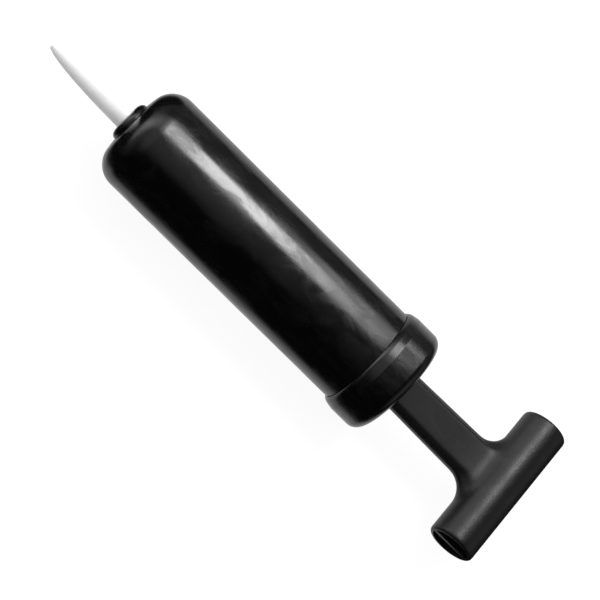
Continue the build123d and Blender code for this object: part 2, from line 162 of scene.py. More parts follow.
def buildEdgeWear():
    # finds convex and concave edges by rounding the normal, then breaks the line up
    flush, turned = 0.99, 0.82    # how well the rounded normal still agrees with the true one
    tree, given, result = newGroup("edgeWear", {"Radius": 0.0005, "Breakup": 700.0, "Amount": 0.5}, ["Mask"])
    rounded = addNode(tree, "Bevel", samples=4)
    feed(tree, rounded, Radius=given["Radius"])
    facing = addNode(tree, "VectorMath", operation="DOT_PRODUCT")
    feed(tree, facing, n0=rounded.outputs[0], n1=addNode(tree, "NewGeometry").outputs["Normal"])
    edge = spread(tree, facing.outputs["Value"], flush, turned)
    patches = noise(tree, objectPlace(tree), given["Breakup"], detail=4.0)
    broken = spread(tree, patches, 0.35, 0.62, toLow=0.15)
    feed(tree, result, Mask=calc(tree, "MULTIPLY", calc(tree, "MULTIPLY", edge, broken), given["Amount"]))
    return tree


def buildMouldedSkin():
    # fine tool grain, slow ripple from cooling, and patches of haze, the last two drawn out along the pump
    usual = {"Grain": 2500.0, "Ripple": 40.0, "Haze": 110.0}
    wavePull, flowPull, hazePull = (0.35, 1, 1), (0.12, 1, 1), (0.5, 1, 1)
    cellShare, speckShare, flowShare = 0.6, 0.4, 0.09
    flowFineness = 7.0    # how many times finer the flow lines are than the ripple
    tree, given, result = newGroup("mouldedSkin", usual, list(usual))
    place = objectPlace(tree)
    cells = addNode(tree, "TexVoronoi", feature="SMOOTH_F1")
    feed(tree, cells, Vector=place, Scale=given["Grain"], Smoothness=0.6)
    specks = noise(tree, place, given["Grain"], detail=2.0, roughness=0.6)
    grain = calc(tree, "MULTIPLY", specks, speckShare)
    grain = calc(tree, "MULTIPLY_ADD", cells.outputs["Distance"], cellShare, grain)
    pulled = stretched(tree, place, wavePull)
    wave = noise(tree, pulled, given["Ripple"], detail=1.5, roughness=0.4, distortion=0.4)
    flowScale = calc(tree, "MULTIPLY", given["Ripple"], flowFineness)
    flow = noise(tree, stretched(tree, place, flowPull), flowScale, detail=3.0, roughness=0.6)
    ripple = calc(tree, "MULTIPLY_ADD", flow, flowShare, wave)
    pulled = stretched(tree, place, hazePull)
    clouds = noise(tree, pulled, given["Haze"], detail=5.0, roughness=0.62, distortion=0.8)
    feed(tree, result, Grain=grain, Ripple=ripple, Haze=spread(tree, clouds, 0.38, 0.68))
    return tree


def buildHairlines():
    # two crossing families of thin scratches that come and go
    families = (((0.3, 0.2, 0.25), (0.03, 1, 1)), ((0.1, -0.3, -0.5), (0.05, 1, 1)))    # turn, stretch
    middle, width = 0.5, 0.012    # a scratch runs where the noise is at its middle value
    tree, given, result = newGroup("hairlines", {"Scale": 600.0, "Amount": 0.5}, ["Mask"])
    place = objectPlace(tree)
    lines = 0.0
    for turn, stretch in families:
        pulled = stretched(tree, place, stretch, turn)
        wave = noise(tree, pulled, given["Scale"], detail=1.0, roughness=0.3, distortion=0.3)
        line = spread(tree, calc(tree, "ABSOLUTE", calc(tree, "SUBTRACT", wave, middle)), width, 0.0)
        lines = calc(tree, "MAXIMUM", lines, line)
    patches = spread(tree, noise(tree, place, scale=55.0), 0.5, 0.66)
    feed(tree, result, Mask=calc(tree, "MULTIPLY", calc(tree, "MULTIPLY", lines, patches), given["Amount"]))
    return tree


def buildSettledDust():
    # lies on faces that look up and gathers where surfaces meet
    cornerReach = 0.0025
    tree, given, result = newGroup("settledDust", {"Amount": 0.1, "Specks": 2200.0}, ["Mask"])
    facing = addNode(tree, "SeparateXYZ")
    feed(tree, facing, Vector=addNode(tree, "NewGeometry").outputs["Normal"])
    upward = spread(tree, facing.outputs["Z"], 0.1, 1.0, toLow=0.25)
    corner = addNode(tree, "AmbientOcclusion", samples=4)
    feed(tree, corner, Distance=cornerReach)
    gathered = spread(tree, corner.outputs["AO"], 0.9, 0.35, toLow=0.35, toHigh=1.4)
    specks = spread(tree, noise(tree, objectPlace(tree), given["Specks"], roughness=0.7), 0.52, 0.72)
    lying = calc(tree, "MULTIPLY", calc(tree, "MULTIPLY", upward, gathered), specks)
    feed(tree, result, Mask=calc(tree, "MULTIPLY", lying, given["Amount"], clamp=True))
    return tree


def buildRingMarks():
    # rings round the pump axis, as left by turning and polishing
    tree, given, result = newGroup("ringMarks", {"Pitch": 0.0002, "Wander": 0.3}, ["Height"])
    place = objectPlace(tree)
    split = addNode(tree, "SeparateXYZ")
    feed(tree, split, Vector=place)
    squares = calc(tree, "MULTIPLY_ADD", split.outputs["Z"], split.outputs["Z"],
                   calc(tree, "MULTIPLY", split.outputs["Y"], split.outputs["Y"]))
    out = calc(tree, "DIVIDE", calc(tree, "SQRT", squares), given["Pitch"])
    along = calc(tree, "DIVIDE", split.outputs["X"], given["Pitch"])
    wobble = calc(tree, "MULTIPLY", noise(tree, place, scale=300.0, detail=2.0), given["Wander"])
    rings = addNode(tree, "TexNoise", noise_dimensions="1D")
    feed(tree, rings, W=calc(tree, "ADD", calc(tree, "ADD", out, along), wobble), Scale=1.0, Detail=3.0)
    feed(tree, result, Height=rings.outputs[0])
    return tree


def buildFibres():
    # tangled wool: fine noise pulled out along several directions
    lays = ((0.2, 0.1, 0.3), (0.9, 0.5, 1.3), (0.4, 1.2, 2.2), (1.4, 0.3, 0.8))
    strandPull = (0.12, 1, 1)
    middle, width = 0.5, 0.09    # a strand's ridge is where the noise is at its middle value
    tree, given, result = newGroup("fibres", {"Scale": 900.0}, ["Height", "Shade"])
    place = objectPlace(tree)
    tangle = 0.0
    for lay in lays:
        pulled = stretched(tree, place, strandPull, lay)
        strand = noise(tree, pulled, given["Scale"], detail=2.0, roughness=0.5, distortion=0.6)
        ridge = spread(tree, calc(tree, "ABSOLUTE", calc(tree, "SUBTRACT", strand, middle)), width, 0.0)
        tangle = calc(tree, "MAXIMUM", tangle, ridge)
    feed(tree, result, Height=tangle, Shade=noise(tree, place, scale=260.0, detail=4.0, roughness=0.65))
    return tree


edgeWear = buildEdgeWear()
mouldedSkin = buildMouldedSkin()
hairlines = buildHairlines()
settledDust = buildSettledDust()
ringMarks = buildRingMarks()
fibres = buildFibres()
print("shader groups built")


def newMaterial(name):
    material = bpy.data.materials.new(name)
    material.use_nodes = True
    tree = material.node_tree
    tree.nodes.clear()
    shader = addNode(tree, "BsdfPrincipled")
    tree.links.new(shader.outputs[0], addNode(tree, "OutputMaterial").inputs["Surface"])
    return material, tree, shader


def raised(tree, height, distance, strength=1.0):
    bump = addNode(tree, "Bump")
    return feed(tree, bump, Height=height, Distance=distance, Strength=strength).outputs["Normal"]


paperDust = (0.42, 0.40, 0.37, 1)


def glossBlack(name, look):
    # moulded gloss plastic: soft ripple, hazy patches, hairlines and faintly rubbed edges
    material, tree, shader = newMaterial(name)
    skin = placed(tree, mouldedSkin, Grain=look["grain"], Ripple=look["ripple"], Haze=look["haze"])
    scratch = placed(tree, hairlines, Scale=look["scratchScale"], Amount=look["scratches"])["Mask"]
    rubbed = placed(tree, edgeWear, Radius=look["edge"], Amount=look["edgeWear"])["Mask"]
    dust = placed(tree, settledDust, Amount=look["dust"])["Mask"]
    color = tint(tree, skin["Haze"], look["color"], look["hazeColor"])
    color = tint(tree, rubbed, color, look["wornColor"])
    color = tint(tree, dust, color, paperDust)
    rough = calc(tree, "MULTIPLY_ADD", skin["Haze"], look["roughSpread"], look["rough"])
    rough = calc(tree, "MULTIPLY_ADD", calc(tree, "MAXIMUM", scratch, rubbed), look["scuffRough"], rough)
    rough = calc(tree, "MULTIPLY_ADD", dust, look["dustRough"], rough, clamp=True)
    height = calc(tree, "MULTIPLY_ADD", skin["Grain"], look["grainShare"], skin["Ripple"])
    height = calc(tree, "MULTIPLY_ADD", scratch, -look["scratchShare"], height)
    feed(tree, shader, Base_Color=color, Roughness=rough, IOR=look["ior"],
         Normal=raised(tree, height, look["relief"]))
    return material


def satinPlastic(name, look):
    # spark-eroded mould texture, polished a little at the rubbed edges
    material, tree, shader = newMaterial(name)
    skin = placed(tree, mouldedSkin, Grain=look["grain"], Ripple=look["ripple"], Haze=look["haze"])
    scratch = placed(tree, hairlines, Scale=look["scratchScale"], Amount=look["scratches"])["Mask"]
    rubbed = placed(tree, edgeWear, Radius=look["edge"], Amount=look["edgeWear"])["Mask"]
    dust = placed(tree, settledDust, Amount=look["dust"])["Mask"]
    color = tint(tree, skin["Haze"], look["color"], look["hazeColor"])
    color = tint(tree, calc(tree, "MULTIPLY", skin["Grain"], look["grainTint"]), color, look["wornColor"])
    color = tint(tree, rubbed, color, look["wornColor"])
    color = tint(tree, dust, color, paperDust)
    rough = calc(tree, "MULTIPLY_ADD", skin["Haze"], -look["roughSpread"], look["rough"])
    rough = calc(tree, "MULTIPLY_ADD", rubbed, -look["polish"], rough)
    scuffed = calc(tree, "MAXIMUM", dust, scratch)
    rough = calc(tree, "MULTIPLY_ADD", scuffed, look["scuffRough"], rough, clamp=True)
    height = calc(tree, "MULTIPLY_ADD", skin["Grain"], look["grainShare"], skin["Ripple"])
    height = calc(tree, "MULTIPLY_ADD", scratch, -look["scratchShare"], height)
    # flat faces in line with the rod keep the dull texture of the mould
    split = addNode(tree, "SeparateXYZ")
    feed(tree, split, Vector=addNode(tree, "NewGeometry").outputs["Normal"])
    flat = spread(tree, calc(tree, "ABSOLUTE", split.outputs["Z"]), *look["flatFaces"])
    split = addNode(tree, "SeparateXYZ")
    feed(tree, split, Vector=objectPlace(tree))
    flat = calc(tree, "MULTIPLY", flat, spread(tree, split.outputs["X"], look["dullEnd"], look["dullStart"]))
    rough = calc(tree, "MULTIPLY_ADD", flat, look["dullness"], rough, clamp=True)
    feed(tree, shader, Base_Color=color, Roughness=rough, IOR=look["ior"],
         Normal=raised(tree, height, look["relief"]))
    return material


def milkyPlastic(name, look):
    # light passes a little way into the plastic, so its shadows stay soft
    material, tree, shader = newMaterial(name)
    skin = placed(tree, mouldedSkin, Grain=look["grain"], Ripple=look["ripple"], Haze=look["haze"])
    scratch = placed(tree, hairlines, Scale=look["scratchScale"], Amount=look["scratches"])["Mask"]
    dust = placed(tree, settledDust, Amount=look["dust"])["Mask"]
    color = tint(tree, skin["Haze"], look["color"], look["hazeColor"])
    color = tint(tree, dust, color, paperDust)
    rough = calc(tree, "MULTIPLY_ADD", skin["Haze"], look["roughSpread"], look["rough"])
    rough = calc(tree, "MULTIPLY_ADD", scratch, look["scuffRough"], rough, clamp=True)
    height = calc(tree, "MULTIPLY_ADD", skin["Grain"], look["grainShare"], skin["Ripple"])
    feed(tree, shader, Base_Color=color, Roughness=rough, Subsurface_Weight=look["glow"],
         Subsurface_Radius=(1.0, 1.0, 1.0), Subsurface_Scale=look["glowDepth"],
         Normal=raised(tree, height, look["relief"]))
    return material


def rubber(name, look):
    # matt rubber with a pale bloom in patches and a fine pebbled skin
    material, tree, shader = newMaterial(name)
    skin = placed(tree, mouldedSkin, Grain=look["grain"], Ripple=look["ripple"], Haze=look["bloomScale"])
    rubbed = placed(tree, edgeWear, Radius=look["edge"], Amount=look["edgeWear"])["Mask"]
    color = tint(tree, skin["Haze"], look["color"], look["bloomColor"])
    color = tint(tree, rubbed, color, look["bloomColor"])
    rough = calc(tree, "MULTIPLY_ADD", skin["Haze"], look["roughSpread"], look["rough"], clamp=True)
    height = calc(tree, "MULTIPLY", skin["Ripple"], look["rippleShare"])
    height = calc(tree, "MULTIPLY_ADD", skin["Grain"], look["grainShare"], height)
    feed(tree, shader, Base_Color=color, Roughness=rough, Sheen_Weight=look["sheen"],
         Sheen_Roughness=look["sheenRough"], Normal=raised(tree, height, look["relief"]))
    return material


def platedSteel(name, look):
    # bright plating over ring marks, with dull patches, scratches and rubbed edges
    material, tree, shader = newMaterial(name)
    rings = placed(tree, ringMarks, Pitch=look["pitch"], Wander=look["wander"])["Height"]
    skin = placed(tree, mouldedSkin, Grain=look["grain"], Haze=look["haze"])
    scratch = placed(tree, hairlines, Scale=look["scratchScale"], Amount=look["scratches"])["Mask"]
    rubbed = placed(tree, edgeWear, Radius=look["edge"], Amount=look["edgeWear"])["Mask"]
    color = tint(tree, skin["Haze"], look["color"], look["dullColor"])
    color = tint(tree, rubbed, color, look["brightColor"])
    rough = calc(tree, "MULTIPLY_ADD", rings, look["roughSpread"], look["rough"])
    rough = calc(tree, "MULTIPLY_ADD", scratch, look["scuffRough"], rough, clamp=True)
    height = calc(tree, "MULTIPLY_ADD", skin["Grain"], look["grainShare"], rings)
    feed(tree, shader, Base_Color=color, Roughness=rough, Metallic=1.0, Anisotropic=look["drawn"],
         Normal=raised(tree, height, look["relief"]))
    return material


def woolFelt(name, look):
    # pressed wool, darker where the oil has soaked in and paler on the raised fibres
    material, tree, shader = newMaterial(name)
    wool = placed(tree, fibres, Scale=look["fibre"])
    color = tint(tree, wool["Shade"], look["color"], look["oilColor"])
    color = tint(tree, calc(tree, "MULTIPLY", wool["Height"], look["tipShare"]), color, look["tipColor"])
    rough = calc(tree, "MULTIPLY_ADD", wool["Shade"], look["roughSpread"], look["rough"], clamp=True)
    feed(tree, shader, Base_Color=color, Roughness=rough, Sheen_Weight=look["sheen"],
         Sheen_Roughness=look["sheenRough"], Normal=raised(tree, wool["Height"], look["relief"]))
    return material


def tangentArc(start, heading, end, steps):
    # an arc that leaves start along heading and reaches end, without its first point
    start, heading, end = Vector(start), Vector(heading).normalized(), Vector(end)
    side, across = Vector((-heading.y, heading.x)), end - start
    centre = start + side * (across.length_squared / (2 * across.dot(side)))
    turn = 2 * math.atan2(across.dot(side), across.dot(heading))
    turns = [Matrix.Rotation(turn * step / steps, 2) for step in range(1, steps + 1)]
    return [centre + part @ (start - centre) for part in turns]


def softCorners(corners, steps=6):
    # corners are (along, out, roundness) in a closed outline, and each round one becomes an arc
    longest = 0.48    # the share of a side that one arc may take
    points = []
    for index, corner in enumerate(corners):
        here, roundness = Vector(corner[:2]), corner[2] if len(corner) > 2 else 0
        if not roundness:
            points.append(here)
            continue
        before = Vector(corners[index - 1][:2]) - here
        after = Vector(corners[(index + 1) % len(corners)][:2]) - here
        half = before.angle(after) / 2
        reach = min(roundness / math.tan(half), longest * before.length, longest * after.length)
        start, end = here + before.normalized() * reach, here + after.normalized() * reach
        points += [start] + tangentArc(start, -before, end, steps)
    return points


def ringOf(along, out, turns):
    angles = [2 * math.pi * turn / turns for turn in range(turns)]
    return [Vector((along, out * math.cos(angle), out * math.sin(angle))) for angle in angles]


def meshFromRows(name, rows):
    # every row is a closed ring of points, and the last row joins the first
    touching = 1e-6
    turns = len(rows[0])
    points = [point for row in rows for point in row]
    faces = []
    for row in range(len(rows)):
        nextRow = (row + 1) % len(rows)
        for turn in range(turns):
            nextTurn = (turn + 1) % turns
            faces.append((row * turns + turn, row * turns + nextTurn,
                          nextRow * turns + nextTurn, nextRow * turns + turn))
    mesh = bpy.data.meshes.new(name)
    mesh.from_pydata(points, [], faces)
    work = bmesh.new()
    work.from_mesh(mesh)
    bmesh.ops.remove_doubles(work, verts=work.verts, dist=touching)
    bmesh.ops.recalc_face_normals(work, faces=work.faces)
    work.to_mesh(mesh)
    work.free()
    return mesh


def finishPiece(name, mesh, body, node, material, sharpAngle=40):
    piece = bpy.data.objects.new(name, mesh)
    bpy.context.scene.collection.objects.link(piece)
    mesh.materials.clear()
    mesh.materials.append(material)
    mesh.shade_smooth()
    mesh.set_sharp_from_angle(angle=math.radians(sharpAngle))
    evened = piece.modifiers.new("evenNormals", "WEIGHTED_NORMAL")
    evened.keep_sharp, evened.weight = True, 80
    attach(piece, body)
    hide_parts(node)
    print("made", name, "with", len(mesh.polygons), "faces")


barrelShape = {
    "turns": 256,
    "spigot": 12.5 * mm,
    "spigotStep": 0.4 * mm,
    "straight": 119.0 * mm,
    "headDepth": 11.4 * mm,
    "knuckle": 10.5 * mm,
    "headWall": 3.4 * mm,
    "wall": 2.2 * mm,
    "bossHeight": 3.5 * mm,
    "bossRadius": 10.0 * mm,
    "seatDepth": 0.8 * mm,
    "seatRadius": 8.9 * mm,
    "hole": 6.95 * mm,
    "grooveInset": 5.0 * mm,
    "grooveWidth": 2.0 * mm,
    "grooveDepth": 0.6 * mm,
    "edge": 0.1 * mm,
    "holeEdge": 0.12 * mm,
    "jointEdge": 0.18 * mm,
    "mouthEdge": 0.5 * mm,
    "bossEdge": 0.4 * mm,
    "boreEdge": 0.2 * mm,
}
barrelLook = {
    "color": (0.0008, 0.0008, 0.0009, 1),
    "hazeColor": (0.0018, 0.0017, 0.0015, 1),
    "wornColor": (0.02, 0.02, 0.02, 1),
    "rough": 0.19,
    "roughSpread": 0.13,
    "ior": 1.5,
    "grain": 3500.0,
    "grainShare": 0.02,
    "ripple": 45.0,
    "haze": 130.0,
    "scratchScale": 500.0,
    "scratches": 0.5,
    "scratchShare": 0.03,
    "scuffRough": 0.25,
    "edge": 0.0005,
    "edgeWear": 0.35,
    "dust": 0.012,
    "dustRough": 0.5,
    "relief": 0.00019,
}


def makeBarrel():
    shape = barrelShape
    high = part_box("barrel")[1]
    mouth, radius = high.x, high.z
    joint = mouth - shape["spigot"]
    headLine = joint - shape["straight"]
    apex = headLine - shape["headDepth"]
    headInner = apex + shape["headWall"]
    bossFace = headInner + shape["bossHeight"]
    seat = apex + shape["seatDepth"]
    spigot, bore = radius - shape["spigotStep"], radius - shape["wall"]
    innerKnuckle = shape["knuckle"] - shape["wall"]
    knuckleOut = radius - shape["knuckle"]
    crown = (shape["headDepth"] ** 2 + knuckleOut**2 - shape["knuckle"] ** 2) / (
        2 * (shape["headDepth"] - shape["knuckle"])
    )
    crownEnd = math.atan2(knuckleOut, apex + crown - headLine)
    seatEdge = math.asin(shape["seatRadius"] / crown)
    crownSteps, knuckleSteps, innerSteps = 16, 20, 14
    outline = [(seat, shape["hole"], shape["holeEdge"]), (seat, shape["seatRadius"], shape["edge"])]
    for step in range(crownSteps + 1):
        angle = seatEdge + (crownEnd - seatEdge) * step / crownSteps
        outline.append((apex + crown * (1 - math.cos(angle)), crown * math.sin(angle)))
    fall = Vector((math.sin(crownEnd), math.cos(crownEnd)))
    outline += [tuple(point) for point in tangentArc(outline[-1], fall, (headLine, radius), knuckleSteps)]
    groove = mouth - shape["grooveInset"]
    half = shape["grooveWidth"] / 2
    floor = spigot - shape["grooveDepth"]
    outline += [
        (joint, radius, shape["jointEdge"]),
        (joint, spigot),
        (groove - half, spigot, shape["edge"]),
        (groove - half, floor, shape["edge"]),
        (groove + half, floor, shape["edge"]),
        (groove + half, spigot, shape["edge"]),
        (mouth, spigot, shape["mouthEdge"]),
        (mouth, bore, shape["mouthEdge"]),
        (headLine, bore),
    ]
    inner = tangentArc((headLine, bore), (-1, 0), (headInner, bore - innerKnuckle), innerSteps)
    outline += [tuple(point) for point in inner]
    outline += [
        (headInner, shape["bossRadius"], shape["bossEdge"]),
        (bossFace, shape["bossRadius"], shape["bossEdge"]),
        (bossFace, shape["hole"], shape["boreEdge"]),
    ]
    rows = [ringOf(point.x, point.y, shape["turns"]) for point in softCorners(outline)]
    mesh = meshFromRows("pumpBarrel", rows)
    material = glossBlack("barrelGloss", barrelLook)
    finishPiece("pumpBarrel", mesh, "casing", "barrel", material)
    return joint


jointLine = makeBarrel()

rodShape = {"width": 17.6 * mm, "thickness": 9.0 * mm, "bevel": 2.8 * mm, "edge": 2.5 * mm, "gap": 0.3 * mm}
capShape = {
    "turns": 320,
    "jointGap": 0.1 * mm,
    "edgeRadius": 4.4 * mm,
    "shoulder": 4.8 * mm,
    "rise": 0.55 * mm,
    "nose": 1.8 * mm,
    "noseSlope": 16.0,
    "overhang": 0.4 * mm,
    "endWall": 3.2 * mm,
    "beadDepth": 0.6 * mm,
    "holeRing": 12.5 * mm,
    "holeLead": 0.25 * mm,
    "fitGap": 0.1 * mm,
    "shoulderEdge": 0.35 * mm,
    "faceEdge": 0.06 * mm,
    "beadEdge": 0.2 * mm,
    "rootEdge": 0.3 * mm,
}
capLook = dict(barrelLook, rough=0.22, roughSpread=0.10, ripple=70.0, haze=170.0, edgeWear=0.45)


def rodRing(along, grow, turns):
    # the rod's bevelled section, met by rays from the axis
    halfWidth, halfDepth = rodShape["width"] / 2 + grow, rodShape["thickness"] / 2 + grow
    bevel, edge = rodShape["bevel"], rodShape["edge"]
    parallel, slack = 1e-12, 1e-6
    corners = []
    for across, up in ((1, 1), (-1, 1), (-1, -1), (1, -1)):
        pair = [
            (across * halfWidth, up * (halfDepth - bevel), edge),
            (across * (halfWidth - bevel), up * halfDepth, edge),
        ]
        corners += pair if across * up > 0 else pair[::-1]
    outline = softCorners(corners, 5)
    ring = []
    for turn in range(turns):
        ray = Vector((math.cos(2 * math.pi * turn / turns), math.sin(2 * math.pi * turn / turns)))
        best = 0.0
        for index, start in enumerate(outline):
            side = outline[(index + 1) % len(outline)] - start
            spanned = ray.x * side.y - ray.y * side.x
            if abs(spanned) < parallel:
                continue
            reach = (start.x * side.y - start.y * side.x) / spanned
            share = (start.x * ray.y - start.y * ray.x) / spanned
            if -slack <= share <= 1 + slack:
                best = max(best, reach)
        ring.append(Vector((along, ray.x * best, ray.y * best)))
    return ring


def makeCap():
    shape = capShape
    high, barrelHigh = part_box("end_cap")[1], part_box("barrel")[1]
    end, radius = high.x, min(high.y, high.z)
    face = jointLine + shape["jointGap"]
    inner = end - shape["endWall"]
    wall = barrelHigh.z
    skirt = wall - barrelShape["spigotStep"] + shape["fitGap"]
    slope = math.radians(shape["noseSlope"])
    noseEnd = (face + shape["nose"], radius - shape["rise"])
    groove = barrelHigh.x - barrelShape["grooveInset"]
    bead = barrelShape["grooveWidth"] / 2 - shape["fitGap"]
    outline = [
        (end, shape["holeRing"]),
        (end, radius, shape["edgeRadius"]),
        (jointLine + shape["shoulder"], radius, shape["shoulderEdge"]),
        noseEnd,
    ]
    noseSteps = 10
    fall = (-math.cos(slope), -math.sin(slope))
    nose = tangentArc(noseEnd, fall, (face, wall + shape["overhang"]), noseSteps)
    outline += [tuple(point) for point in nose[:-1]]
    outline += [
        (face, wall + shape["overhang"], shape["faceEdge"]),
        (face, skirt, shape["faceEdge"]),
        (groove - bead, skirt, shape["beadEdge"]),
        (groove - bead / 2, skirt - shape["beadDepth"], shape["beadEdge"]),
        (groove + bead / 2, skirt - shape["beadDepth"], shape["beadEdge"]),
        (groove + bead, skirt, shape["beadEdge"]),
        (inner, skirt, shape["rootEdge"]),
        (inner, shape["holeRing"]),
    ]
    rows = [ringOf(point.x, point.y, shape["turns"]) for point in softCorners(outline, 10)]
    # the rod's way through, with its edges eased at both ends
    lead = shape["holeLead"]
    innerEase = [(inner, lead), (inner + lead, 0)]
    outerEase = [(end - lead, 0), (end - lead / 4, lead * 0.6), (end, lead * 1.3)]
    for along, grow in innerEase + outerEase:
        rows.append(rodRing(along, rodShape["gap"] + grow, shape["turns"]))
    material = glossBlack("capGloss", capLook)
    finishPiece("barrelCap", meshFromRows("barrelCap", rows), "casing", "end_cap", material)


makeCap()

collarShape = {
    "turns": 160,
    "height": 2.9 * mm,
    "rim": 0.6 * mm,
    "lip": 5.3 * mm,
    "bore": 4.95 * mm,
    "flangeBore": 5.7 * mm,
    "stem": 6.9 * mm,
    "step": 0.8 * mm,
    "seal": 0.6 * mm,
    "sealRadius": 8.25 * mm,
    "edge": 0.08 * mm,
    "lipEdge": 0.06 * mm,
    "stepEdge": 0.05 * mm,
    "flangeEdge": 0.1 * mm,
    "stemEdge": 0.15 * mm,
}
collarLook = dict(barrelLook, rough=0.2, ripple=200.0, haze=400.0, relief=0.00003, edgeWear=0.5)


def makeCollar():
    shape = collarShape
    low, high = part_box("nozzle_collar")
    face = low.x + shape["height"]
    domeStart = face - shape["rim"]
    outline = [(face, shape["sealRadius"], shape["edge"]), (face, high.y, shape["edge"])]
    outline.append((domeStart, high.y))
    domeSteps = 12
    for step in range(1, domeSteps):
        angle = math.pi / 2 * step / domeSteps
        outline.append((
            domeStart - (domeStart - low.x) * math.sin(angle),
            shape["lip"] + (high.y - shape["lip"]) * math.cos(angle),
        ))
    outline += [
        (low.x, shape["lip"], shape["lipEdge"]),
        (low.x, shape["bore"], shape["edge"]),
        (face + shape["step"], shape["bore"], shape["stepEdge"]),
        (face + shape["step"], shape["flangeBore"], shape["flangeEdge"]),
        (high.x, shape["flangeBore"], shape["flangeEdge"]),
        (high.x, shape["stem"], shape["stemEdge"]),
        (face - shape["seal"], shape["stem"], shape["edge"]),
        (face - shape["seal"], shape["sealRadius"], shape["edge"]),
    ]
    rows = [ringOf(point.x, point.y, shape["turns"]) for point in softCorners(outline)]
    mesh = meshFromRows("noseCollar", rows)
    material = glossBlack("collarGloss", collarLook)
    finishPiece("noseCollar", mesh, "casing", "nozzle_collar", material)


makeCollar()

nozzleShape = {
    "turns": 128,
    "root": 4.85 * mm,
    "rootPull": 28.0 * mm,
    "rootDraft": 0.012,
    "tipLength": 1.4 * mm,
    "tipRadius": 1.75 * mm,
    "tipPull": 1.5 * mm,
    "tipDraft": 0.45,
    "tipBevel": 0.6 * mm,
    "hole": 0.9 * mm,
    "boreRoot": 2.6 * mm,
    "flange": 1.6 * mm,
    "edge": 0.1 * mm,
    "tipEdge": 0.3 * mm,
    "holeEdge": 0.08 * mm,
}
nozzleLook = {
    "color": (0.80, 0.80, 0.805, 1),
    "hazeColor": (0.76, 0.76, 0.765, 1),
    "rough": 0.3,
    "roughSpread": 0.1,
    "grain": 3000.0,
    "grainShare": 0.1,
    "ripple": 160.0,
    "haze": 300.0,
    "scratchScale": 900.0,
    "scratches": 0.4,
    "scuffRough": 0.2,
    "dust": 0.04,
    "glow": 0.15,
    "glowDepth": 0.0012,
    "relief": 0.00003,
}


def makeNozzle():
    shape = nozzleShape
    low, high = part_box("nozzle")
    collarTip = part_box("nozzle_collar")[0].x
    root = Vector((collarTip, shape["root"]))
    tip = Vector((low.x + shape["tipLength"], shape["tipRadius"]))
    rootPull = root + Vector((-1, -shape["rootDraft"])) * shape["rootPull"]
    tipPull = tip + Vector((1, shape["tipDraft"])) * shape["tipPull"]
    flange = high.x - shape["flange"]
    outline = [(flange, high.y, shape["edge"]), (flange, shape["root"], shape["edge"])]
    sideSteps = 40
    for step in range(sideSteps + 1):
        share = step / sideSteps
        point = (root * (1 - share) ** 3 + rootPull * 3 * (1 - share) ** 2 * share
                 + tipPull * 3 * (1 - share) * share**2 + tip * share**3)
        outline.append(tuple(point))
    outline += [
        (low.x, shape["tipRadius"] - shape["tipBevel"], shape["tipEdge"]),
        (low.x, shape["hole"], shape["holeEdge"]),
        (high.x, shape["boreRoot"], shape["edge"]),
        (high.x, high.y, shape["edge"]),
    ]
    rows = [ringOf(point.x, point.y, shape["turns"]) for point in softCorners(outline)]
    mesh = meshFromRows("pumpNozzle", rows)
    material = milkyPlastic("nozzleWhite", nozzleLook)
    finishPiece("pumpNozzle", mesh, "casing", "nozzle", material)


makeNozzle()

handleShape = {
    "voxel": 0.5 * mm,
    "smoothing": 12,
    "barRadius": 10.15 * mm,
    "pocketRadius": 8.35 * mm,
    "pocketDepth": 13.0 * mm,
    "web": 1.8 * mm,
    "coreLength": 16.0 * mm,
    "coreWidth": 8.0 * mm,
    "coreDepth": 2.7 * mm,
    "coreRib": 3.5 * mm,
    "coreCorner": 2.0 * mm,
    "coreCount": 4,
    "coreStart": 30.0 * mm,
    "pilot": 2.45 * mm,
    "pilotDepth": 25.0 * mm,
    "moonEdge": 0.5 * mm,
    "pocketFill": 0.7 * mm,    # the fillings reach this far past each hollow's wall
    "coreFill": 0.5 * mm,
    "pilotFill": 0.4 * mm,
    "overrun": 1.0 * mm,
}
handleLook = {
    "color": (0.0028, 0.0028, 0.0030, 1),
    "hazeColor": (0.0045, 0.0044, 0.0042, 1),
    "wornColor": (0.03, 0.029, 0.028, 1),
    "rough": 0.40,
    "roughSpread": 0.06,
    "ior": 1.42,
    "dullStart": 0.108,
    "dullEnd": 0.130,
    "dullness": 0.34,
    "flatFaces": (0.93, 0.995),
    "grain": 2600.0,
    "grainShare": 0.4,
    "grainTint": 0.12,
    "ripple": 90.0,
    "haze": 120.0,
    "scratchScale": 420.0,
    "scratches": 0.5,
    "scratchShare": 0.1,
    "scuffRough": 0.25,
    "edge": 0.0006,
    "edgeWear": 0.5,
    "polish": 0.12,
    "dust": 0.025,
    "relief": 0.00018,
}


def prism(work, outline, low, high, toSpace):
    # a closed prism over an outline, from low to high along the outline's normal
    ends = [[work.verts.new(toSpace(point, level)) for point in outline] for level in (low, high)]
    work.faces.new(ends[0])
    work.faces.new(ends[1])
    for index in range(len(outline)):
        after = (index + 1) % len(outline)
        work.faces.new((ends[0][index], ends[0][after], ends[1][after], ends[1][index]))


def circleOutline(radius, steps=48):
    angles = [2 * math.pi * step / steps for step in range(steps)]
    return [Vector((radius * math.cos(angle), radius * math.sin(angle))) for angle in angles]


def halfMoon(side):
    # one side of the round pocket, cut off by the web
    shape = handleShape
    half = shape["web"] / 2
    edge = math.asin(half / shape["pocketRadius"])
    steps = 28
    arc = []
    for step in range(steps + 1):
        angle = edge + (math.pi - 2 * edge) * step / steps
        arc.append((shape["pocketRadius"] * math.cos(angle), side * shape["pocketRadius"] * math.sin(angle)))
    arc[0] = (*arc[0], shape["moonEdge"])
    arc[-1] = (*arc[-1], shape["moonEdge"])
    return softCorners(arc, 4)


